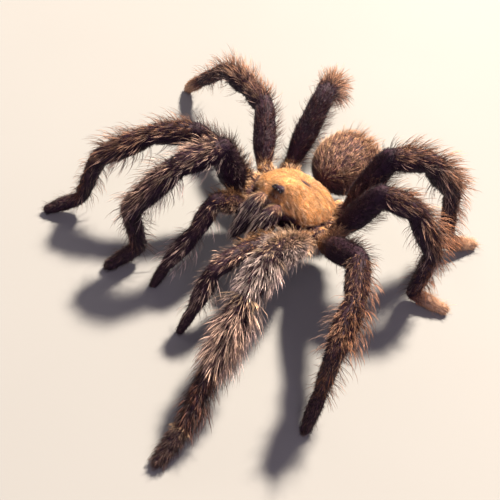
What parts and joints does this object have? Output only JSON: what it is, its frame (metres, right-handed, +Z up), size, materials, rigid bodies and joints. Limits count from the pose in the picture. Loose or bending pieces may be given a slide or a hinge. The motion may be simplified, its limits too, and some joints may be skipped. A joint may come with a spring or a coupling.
{
  "type": "tarantula",
  "caption": "Still life-size tarantula in a slow walking stance, with a domed tan head shell, a furry hind body and dark hairy jointed legs set down on small flats.",
  "frame": {"origin": "middle of the box's floor, under the body, at the level of the feet", "axes": "+Z up; the head faces -Y; the animal's right side is towards -X"},
  "size_m": [0.0756, 0.0908, 0.026],
  "materials": {
    "shell_fur": "short golden tan hair lying flat in a swirl",
    "leg_fur": "dark brown velvet with longer rust brown hairs",
    "abdomen_fur": "dense brown velvet with long rust hairs",
    "jaw_fur": "grey brown hairs lying forward",
    "horn": "glossy black horn",
    "eye_gloss": "wet black gloss"
  },
  "bodies": {
    "root": {"carapace": "shell_fur", "eye_mound": "shell_fur", "sternum_and_coxae": "leg_fur", "abdomen": "abdomen_fur", "chelicera_right": "jaw_fur", "chelicera_left": "jaw_fur", "fang_right": "horn", "fang_left": "horn", "spinneret_right": "abdomen_fur", "spinneret_left": "abdomen_fur", "palp_right_femur": "leg_fur", "palp_right_patella": "leg_fur", "palp_right_tibia": "leg_fur", "palp_right_tarsus": "leg_fur", "palp_left_femur": "leg_fur", "palp_left_patella": "leg_fur", "palp_left_tibia": "leg_fur", "palp_left_tarsus": "leg_fur", "leg_1_right_femur": "leg_fur", "leg_1_right_patella": "leg_fur", "leg_1_right_tibia": "leg_fur", "leg_1_right_metatarsus": "leg_fur", "leg_1_right_tarsus": "leg_fur", "leg_1_left_femur": "leg_fur", "leg_1_left_patella": "leg_fur", "leg_1_left_tibia": "leg_fur", "leg_1_left_metatarsus": "leg_fur", "leg_1_left_tarsus": "leg_fur", "leg_2_right_femur": "leg_fur", "leg_2_right_patella": "leg_fur", "leg_2_right_tibia": "leg_fur", "leg_2_right_metatarsus": "leg_fur", "leg_2_right_tarsus": "leg_fur", "leg_2_left_femur": "leg_fur", "leg_2_left_patella": "leg_fur", "leg_2_left_tibia": "leg_fur", "leg_2_left_metatarsus": "leg_fur", "leg_2_left_tarsus": "leg_fur", "leg_3_right_femur": "leg_fur", "leg_3_right_patella": "leg_fur", "leg_3_right_tibia": "leg_fur", "leg_3_right_metatarsus": "leg_fur", "leg_3_right_tarsus": "leg_fur", "leg_3_left_femur": "leg_fur", "leg_3_left_patella": "leg_fur", "leg_3_left_tibia": "leg_fur", "leg_3_left_metatarsus": "leg_fur", "leg_3_left_tarsus": "leg_fur", "leg_4_right_femur": "leg_fur", "leg_4_right_patella": "leg_fur", "leg_4_right_tibia": "leg_fur", "leg_4_right_metatarsus": "leg_fur", "leg_4_right_tarsus": "leg_fur", "leg_4_left_femur": "leg_fur", "leg_4_left_patella": "leg_fur", "leg_4_left_tibia": "leg_fur", "leg_4_left_metatarsus": "leg_fur", "leg_4_left_tarsus": "leg_fur"}
  },
  "joints": []
}
